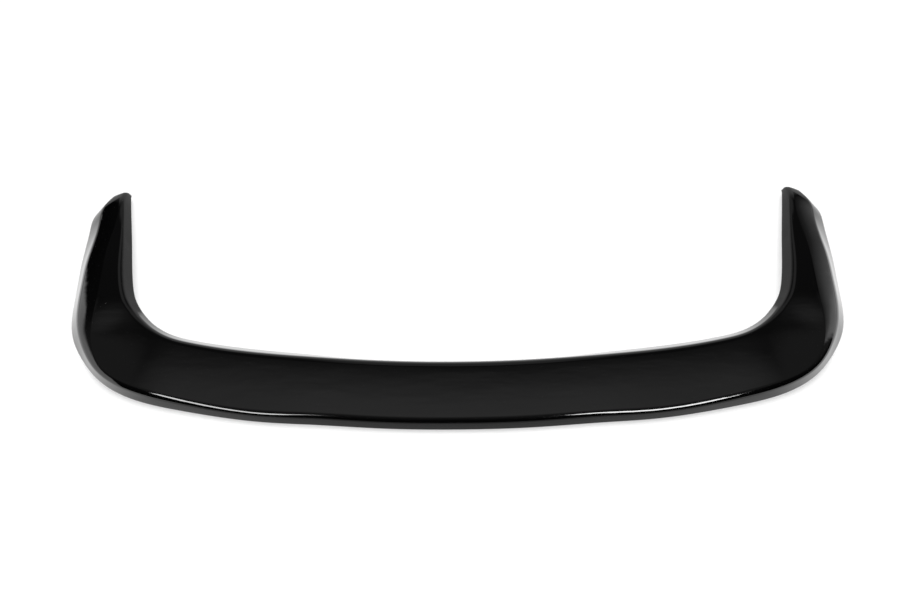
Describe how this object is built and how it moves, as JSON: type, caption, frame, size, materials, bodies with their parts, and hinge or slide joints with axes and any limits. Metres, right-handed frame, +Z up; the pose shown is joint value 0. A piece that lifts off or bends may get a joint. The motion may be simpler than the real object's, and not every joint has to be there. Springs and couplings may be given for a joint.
{
  "type": "lip spoiler",
  "caption": "Thin one-piece moulded lip spoiler: a long bowed blade that turns into a tapering arm at each end, made to cap and be bonded round a car panel's edge.",
  "frame": {"origin": "middle of the shell's box, on the flat plane of its rim", "axes": "+X across the car, +Y from the blade along the arms, +Z up from the surface that the rim lies on"},
  "size_m": [1.2021, 0.4437, 0.0461],
  "materials": {
    "gloss_black": "high gloss, clear-coated black"
  },
  "bodies": {
    "root": {"lip_shell": "gloss_black"}
  },
  "joints": []
}
